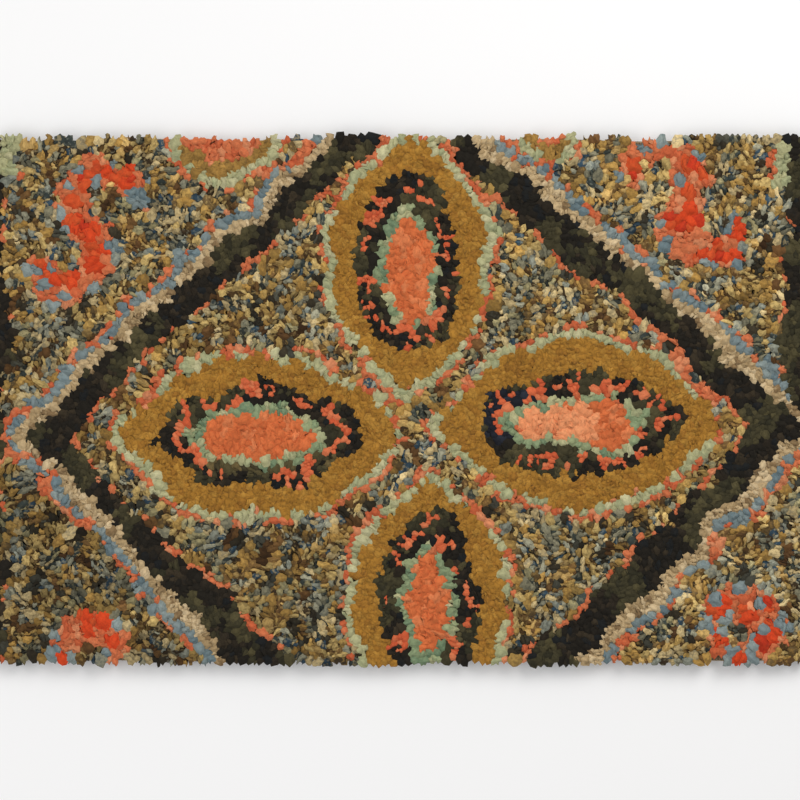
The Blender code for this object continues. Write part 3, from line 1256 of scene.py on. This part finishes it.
def fibreGroup():
    # colour of a ply with its flecks, mottle and fibres, painted shade in its creases and towards its roots,
    # and height for bump
    group = bpy.data.node_groups.new("ragFibre", "ShaderNodeTree")
    openSockets(group, "INPUT", "Color", "Rag", "Fleck")
    openSockets(group, "INPUT", "Float", *fibreInputs)
    openSockets(group, "OUTPUT", "Color", "Colour")
    openSockets(group, "OUTPUT", "Float", "Height")
    build = Tree(group)
    given = build.add("NodeGroupInput").outputs
    place = build.add("ShaderNodeTexCoord").outputs["Object"]

    def noise(place, scale, detail, twist=0.0):
        inputs = {"Vector": place, "Scale": scale, "Detail": detail, "Distortion": twist}
        return build.add("ShaderNodeTexNoise", inputs).outputs["Fac"]

    def ramp(value, start, end, low=0.0, high=1.0):
        inputs = {"Value": value, "From Min": start, "From Max": end, "To Min": low, "To Max": high}
        return build.add("ShaderNodeMapRange", inputs).outputs[0]

    def weighted(first, second, shares):
        parts = [build.times(value, share) for value, share in zip((first, second), shares)]
        return build.plus(*parts)

    share = ramp(noise(place, given["Fleck Scale"], 2.0), *fibreLook["fleckEdge"])
    mask = build.times(share, given["Fleck Share"])
    mixed = build.add("ShaderNodeMix", {0: mask, 6: given["Rag"], 7: given["Fleck"]}, data_type="RGBA")
    mottle = noise(place, fibreLook["mottleScale"], 3.0)
    across = build.add("ShaderNodeAttribute", attribute_name="plyAcross").outputs["Vector"]
    along = build.vector("CROSS_PRODUCT", (0.0, 0.0, 1.0), across)
    stretched = build.times(build.vector("DOT_PRODUCT", place, along), fibreLook["fibreStretch"])
    inputs = {"X": build.vector("DOT_PRODUCT", place, across), "Y": stretched}
    drawn = build.add("ShaderNodeCombineXYZ", inputs).outputs[0]
    fibre = noise(drawn, fibreLook["fibreScale"], 1.5)
    fold = noise(place, fibreLook["foldScale"], 1.5, fibreLook["foldTwist"])
    ridge = build.maths("ABSOLUTE", build.minus(fold, 0.5))
    crease = ramp(ridge, 0.0, fibreLook["creaseWidth"])
    # painted shade in the folds: the colour is darkened along the crease lines, which the bump also sinks
    creaseShade = build.times(build.minus(1.0, crease), given["Crease Depth And Shade"])
    kept = build.minus(1.0, creaseShade)
    blend = build.minus(weighted(mottle, fibre, fibreLook["mottleShare"]), 0.5)
    swing = build.times(blend, build.times(given["Mottle"], fibreLook["contrast"]))
    height = build.add("ShaderNodeSeparateXYZ", {"Vector": place}).outputs["Z"]
    # painted shade: the colour darkens towards each tuft's root, where shade falls between the tufts, and
    # turns warmer there
    root = ramp(height, *fibreLook["rootHeights"], given["Root Shade"], 1.0)
    gain = build.times(build.plus(swing, 1.0), kept)
    red, blue = (build.maths("POWER", root, power) for power in fibreLook["warmth"])
    warm = build.add("ShaderNodeCombineXYZ", {"X": red, "Y": root, "Z": blue})
    scaled = build.vector("MULTIPLY", build.vector("SCALE", mixed.outputs[2], scale=gain), warm)
    bump = weighted(mottle, fibre, fibreLook["bumpShare"])
    bump = build.plus(bump, build.times(crease, given["Crease Depth And Shade"]))
    build.add("NodeGroupOutput", {"Colour": scaled, "Height": bump})
    return group


woolFinishes = {
    # material: fleck share, fleck scale, mottle, crease (its bump and painted shade in the folds), root shade
    # (painted shade towards the roots), bump distance, sheen
    "tweedWool": (0.40, 480.0, 0.22, 0.14, 0.36, 0.0006, 0.05),
    "goldWool": (0.3, 260.0, 0.19, 0.24, 0.58, 0.0008, 0.06),
    "charcoalWool": (0.4, 260.0, 0.18, 0.20, 0.65, 0.0006, 0.03),
    "coralWool": (0.3, 260.0, 0.10, 0.16, 0.6, 0.0005, 0.05),
    "paleWool": (0.4, 360.0, 0.12, 0.16, 0.55, 0.0005, 0.05),
}


woolSurface = {"Roughness": 0.92, "Specular IOR Level": 0.12, "Sheen Roughness": 0.5}


def woolMaterial(name, group):
    *fibreValues, bumpDistance, sheen = woolFinishes[name]
    material, shader, build = newMaterial(name, {**woolSurface, "Sheen Weight": sheen})
    fibre = build.add("ShaderNodeGroup", node_tree=group)
    for key, attribute in (("Rag", "tuftColour"), ("Fleck", "fleckColour")):
        colour = build.add("ShaderNodeAttribute", attribute_name=attribute).outputs["Color"]
        build.feed(fibre.inputs[key], colour)
    for key, value in zip(fibreInputs, fibreValues):
        build.feed(fibre.inputs[key], value)
    height = fibre.outputs["Height"]
    bump = build.add("ShaderNodeBump", {"Height": height, "Distance": bumpDistance, "Strength": 1.0})
    build.feed(shader.inputs["Base Color"], fibre.outputs["Colour"])
    build.feed(shader.inputs["Normal"], bump.outputs[0])
    return material


# Ground cloth.

cloth = {
    "edgeGap": 1.8,  # its folded edge lies this far inside the pile's outline
    # the cloth's outer face from the hem's inner edge, round the fold and in over the top: inset, height
    "profile": (
        (22.0, 0.12), (12.0, 0.10), (3.5, 0.10), (1.4, 0.20), (0.4, 0.60), (0.0, 1.30), (0.4, 2.00),
        (1.4, 2.40), (3.5, 2.50), (14.0, 2.50), (40.0, 2.50), (80.0, 2.50), (120.0, 2.50), (150.0, 2.50),
    ),
    "thickness": 0.9,
    "perSide": 30,
    "flat": (0.534, 0.359),
    "thread": 1.7,  # pitch of its threads
    "threadLook": {"Distortion": 0.6, "Detail": 1.0, "Detail Scale": 0.4},
    "threadLight": (0.6, 0.4),  # brightness of a thread: how much it varies, and its least
    "slubLight": (0.5, 0.75),
    "slubScale": 260.0,
    "bump": 0.0004,
    "colour": (0.36, 0.27, 0.17),
    "surface": {"Roughness": 0.95, "Specular IOR Level": 0.15},
}


def clothRing(inset, height):
    # a rectangle that follows the hand-cut edge; its corners give the hem its mitres
    count = cloth["perSide"]
    inside = inset + cloth["edgeGap"]
    halfX, halfY = rug["width"] / 2 - inside, rug["depth"] / 2 - inside
    share = np.arange(count) / count * 2 - 1
    one = np.ones(count)
    x = np.concatenate([share, one, -share, -one]) * halfX
    y = np.concatenate([-one, share, one, -share]) * halfY
    depth, length = rug["edgeWaveDepth"], rug["edgeWaveLength"]
    x = x * (1 - depth * (1 + np.sin(math.tau * y / length)) / (rug["width"] / 2))
    y = y * (1 - depth * (1 + np.sin(math.tau * x / length)) / (rug["depth"] / 2))
    return np.stack([x, y, np.full(4 * count, height)], 1)


def clothMaterial():
    material, shader, build = newMaterial("groundCloth", cloth["surface"])
    place = build.add("ShaderNodeTexCoord").outputs["Object"]
    # the wave texture makes a band for each tenth of pi over its scale
    look = {"Vector": place, "Scale": 0.1 * math.pi / (cloth["thread"] * millimetre), **cloth["threadLook"]}
    threads = [
        build.add("ShaderNodeTexWave", look, bands_direction=way).outputs["Fac"] for way in ("X", "Y")
    ]
    weave = build.maths("MAXIMUM", *threads)
    noise = {"Vector": place, "Scale": cloth["slubScale"], "Detail": 3.0}
    slub = build.add("ShaderNodeTexNoise", noise).outputs["Fac"]
    gain = build.times(*(
        build.plus(build.times(value, vary), least)
        for value, (vary, least) in ((weave, cloth["threadLight"]), (slub, cloth["slubLight"]))
    ))
    colour = build.vector("SCALE", cloth["colour"], scale=gain)
    bump = build.add("ShaderNodeBump", {"Height": weave, "Distance": cloth["bump"], "Strength": 1.0})
    build.feed(shader.inputs["Base Color"], colour)
    build.feed(shader.inputs["Normal"], bump.outputs[0])
    return material


def makeCloth():
    rings = [clothRing(inset, height) for inset, height in cloth["profile"]]
    size, last = len(rings[0]), len(rings) - 1
    verts = np.concatenate(rings) * millimetre
    faces = []
    for i in range(last):
        for j in range(size):
            k = (j + 1) % size
            faces.append((i * size + j, i * size + k, (i + 1) * size + k, (i + 1) * size + j))
    faces.append(tuple(last * size + j for j in range(size)))
    mesh = bpy.data.meshes.new("ground_cloth")
    mesh.from_pydata([tuple(v) for v in verts], [], faces)
    shape = bmesh.new()
    shape.from_mesh(mesh)
    bmesh.ops.recalc_face_normals(shape, faces=shape.faces)
    bmesh.ops.solidify(shape, geom=shape.faces[:], thickness=cloth["thickness"] * millimetre)
    bmesh.ops.recalc_face_normals(shape, faces=shape.faces)
    shape.to_mesh(mesh)
    shape.free()
    mesh.shade_smooth()
    mesh.materials.append(clothMaterial())
    heights = [v.co.z for v in mesh.vertices]
    print("ground cloth from", round(min(heights), 5), "to", round(max(heights), 5))
    return placed("ground_cloth", mesh)


# Camera, floor and light.

studio = {
    "cameraHeight": 1.6,
    "pictureWidth": 0.480,
    "sensor": 36.0,
    "floorReach": 4.0,
    "floorPaint": {"Base Color": (0.92, 0.935, 0.96, 1.0), "Roughness": 0.9},
    # name, place, size, power, colour
    "lights": (
        ("key", (0.75, 0.85, 1.25), 0.9, 14.0, (1.0, 0.97, 0.93)),
        ("fill", (-0.9, -0.2, 1.3), 1.2, 8.0, (1.0, 0.98, 0.96)),
    ),
    "sky": ((1.0, 0.985, 0.96, 1.0), 0.48),
}


def setStudio():
    scene = bpy.context.scene
    scene.view_settings.view_transform = "Standard"
    camera = placed("camera", bpy.data.cameras.new("camera"))
    camera.location = (0, 0, rug["pileTop"] * millimetre + studio["cameraHeight"])
    camera.data.sensor_width = studio["sensor"]
    camera.data.lens = studio["sensor"] * studio["cameraHeight"] / studio["pictureWidth"]
    scene.camera = camera

    mesh = bpy.data.meshes.new("floor")
    reach = studio["floorReach"]
    corners = [(-reach, -reach, 0), (reach, -reach, 0), (reach, reach, 0), (-reach, reach, 0)]
    mesh.from_pydata(corners, [], [(0, 1, 2, 3)])
    mesh.materials.append(newMaterial("floorPaint", studio["floorPaint"])[0])
    floor = placed("floor", mesh)

    for name, place, size, power, colour in studio["lights"]:
        lamp = bpy.data.lights.new(name, "AREA")
        lamp.size = size
        lamp.energy = power
        lamp.color = colour
        light = placed(name, lamp)
        light.location = place
        light.rotation_euler = (-light.location).to_track_quat("-Z", "Y").to_euler()
    world = bpy.data.worlds.new("studio")
    world.use_nodes = True
    scene.world = world
    background = world.node_tree.nodes["Background"]
    background.inputs["Color"].default_value, background.inputs["Strength"].default_value = studio["sky"]


setStudio()
print("studio set")

pile = layOutPile()
print("plies laid out:", len(pile["x"]))
points, owner = outlineCells(pile)
tops, leans = tuftTops(pile)
numbers = pieceNumbers(pile)
tree = tuftTree()
group = fibreGroup()
materials = {name: woolMaterial(name, group) for name in woolFinishes}
groundCloth = makeCloth()
pieces = []
for number, (name, (_, finish, form)) in enumerate(pieceTable.items()):
    cells = cellMesh(name, numbers == number, points, owner, pile, tops, leans)
    pieces.append(grow(name, cells, tree, materials[finish], form))
    print(name, "triangles", sum(len(p.vertices) - 2 for p in pieces[-1].data.polygons))
for piece in [groundCloth, *pieces]:
    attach(piece, "root")
    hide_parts("hooked_rug")
